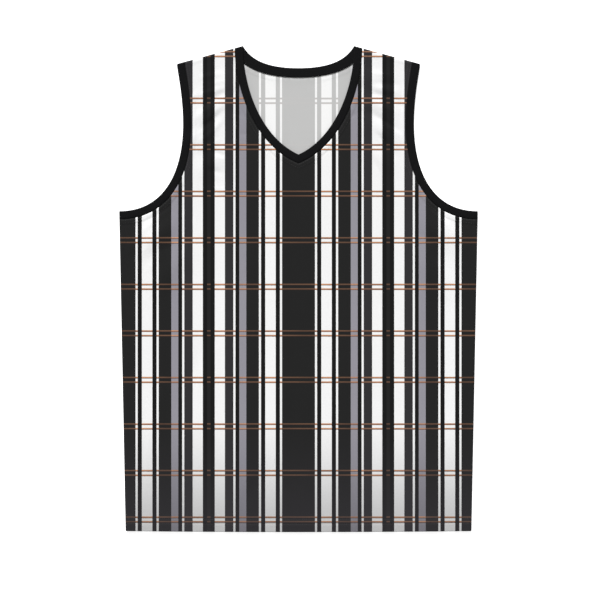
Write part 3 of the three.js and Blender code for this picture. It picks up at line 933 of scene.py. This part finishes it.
threadLook = dict(
    roughness=0.55, sheen=0.15, tint=(1, 1, 1, 1), strength=0.95,
    # fibreToneAndShade: random tone along the thread, and painted light too, as it follows the bump's height
    fibreToneAndShade=(0.75, 1.1), twistNoise=(5200, 1), bumpDepth=0.00008, bumpStrength=0.6,
)


def makeThreadMaterial():
    # The thread is printed with the cloth.
    material, tree, shader = newMaterial("sewingThread", threadLook)
    place = tree.nodes.new("ShaderNodeTexCoord").outputs["Object"]
    printed = placed(tree, printOnCloth, Cloth=place, Strength=threadLook["strength"])
    fibres = noise(tree, place, *threadLook["twistNoise"])
    # Random tone, and painted light: the same noise raises the fibres in the bump, so raised fibres are
    # painted lighter and the hollows between them darker
    fibreToneAndShade = ranged(tree, fibres, *narrowSpread, *threadLook["fibreToneAndShade"])
    tree.links.new(brightened(tree, printed["Color"], fibreToneAndShade), shader.inputs["Base Color"])
    bumped(tree, shader, fibres, threadLook)
    return material


floorLook = dict(
    roughness=0.9, sheen=0, tint=(1, 1, 1, 1),
    shades=((0.90, 0.90, 0.90, 1), (0.92, 0.92, 0.92, 1)), shadeScale=2,
    glow=0.72,  # lit from below, so it shows hardly any shadow
    half=3, cells=8, drop=0.0006,  # metres
)


def makeFloorMaterial():
    material, tree, shader = newMaterial("paleFloor", floorLook)
    place = tree.nodes.new("ShaderNodeTexCoord").outputs["Object"]
    shaded = mixColours(tree, noise(tree, place, floorLook["shadeScale"]), *floorLook["shades"])
    tree.links.new(shaded, shader.inputs["Base Color"])
    shader.inputs["Emission Color"].default_value = (1, 1, 1, 1)
    shader.inputs["Emission Strength"].default_value = floorLook["glow"]
    return material


# The camera looks straight down, and its picture is 0.89 m wide on the cloth
view = dict(lens=200, sensor=36, width=0.8895, right=0.0022, down=0.0163)
lights = dict(sky=0.34, sun=4.25, sunAngle=22, sunFrom=(-0.3, 1.3, 1.0))


def setCamera():
    camera = bpy.data.objects.new("camera", bpy.data.cameras.new("camera"))
    camera.data.lens = view["lens"]
    camera.data.sensor_width = view["sensor"]
    distance = view["width"] * view["lens"] / view["sensor"]
    camera.location = (view["right"], -view["down"], distance + (middleHeight + jersey["foldRadius"]) * mm)
    bpy.context.scene.collection.objects.link(camera)
    bpy.context.scene.camera = camera


def setLights():
    world = bpy.data.worlds.new("studio")
    world.use_nodes = True
    world.node_tree.nodes["Background"].inputs["Color"].default_value = (1, 1, 1, 1)
    world.node_tree.nodes["Background"].inputs["Strength"].default_value = lights["sky"]
    bpy.context.scene.world = world
    sun = bpy.data.objects.new("sun", bpy.data.lights.new("sun", "SUN"))
    sun.data.energy = lights["sun"]
    sun.data.angle = radians(lights["sunAngle"])
    sun.rotation_euler = Vector(lights["sunFrom"]).to_track_quat("Z", "Y").to_euler()
    bpy.context.scene.collection.objects.link(sun)
    bpy.context.scene.view_settings.view_transform = "Standard"
    bpy.context.scene.view_settings.look = "None"


def setFloor():
    bm = bmesh.new()
    cells, below = floorLook["cells"], Matrix.Translation((0, 0, -floorLook["drop"]))
    bmesh.ops.create_grid(bm, x_segments=cells, y_segments=cells, size=floorLook["half"], matrix=below)
    mesh = bpy.data.meshes.new("floor")
    bm.to_mesh(mesh)
    bm.free()
    mesh.materials.append(makeFloorMaterial())
    floor = bpy.data.objects.new("floor", mesh)
    bpy.context.scene.collection.objects.link(floor)


setCamera()
setLights()
setFloor()
print("camera, lights and floor: done")

printOnCloth = printGroup()
fineKnit = knitGroup()
outside = clothMaterial("printedCloth", **outsideLook)
reverse = clothMaterial("clothReverse", **reverseLook)
ribMaterial = makeRibMaterial()
threadMaterial = makeThreadMaterial()
print("materials: done")

clothMaterials = [outside, reverse]
frontPanel, frontSize, frontArea = panelPiece("frontPanel", frontNeck, frontLayer, frontCut, clothMaterials)
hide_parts("front_panel")
backPanel, backSize, backArea = panelPiece("backPanel", backNeck, backLayer, backCut, clothMaterials)
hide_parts("back_panel")
print("panels: done")

bandPieces = [
    (*neckBand("neckBandFront", frontNeck, frontLayer), "neck_band_front", ["back_panel"]),
    (*neckBand("neckBandBack", backNeck, backLayer), "neck_band_back", ["floor"]),
    (*armholeBand("armholeBandLeft", 1), "armhole_band_left", ["floor"]),
    (*armholeBand("armholeBandRight", -1), "armhole_band_right", ["floor"]),
]
for piece, size, node, under in bandPieces:
    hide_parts(node)
print("bands: done")

frontStitches = stitchPiece("frontStitches", frontNeck, frontLayer)
backStitches = stitchPiece("backStitches", backNeck, backLayer)
print("stitches: done")
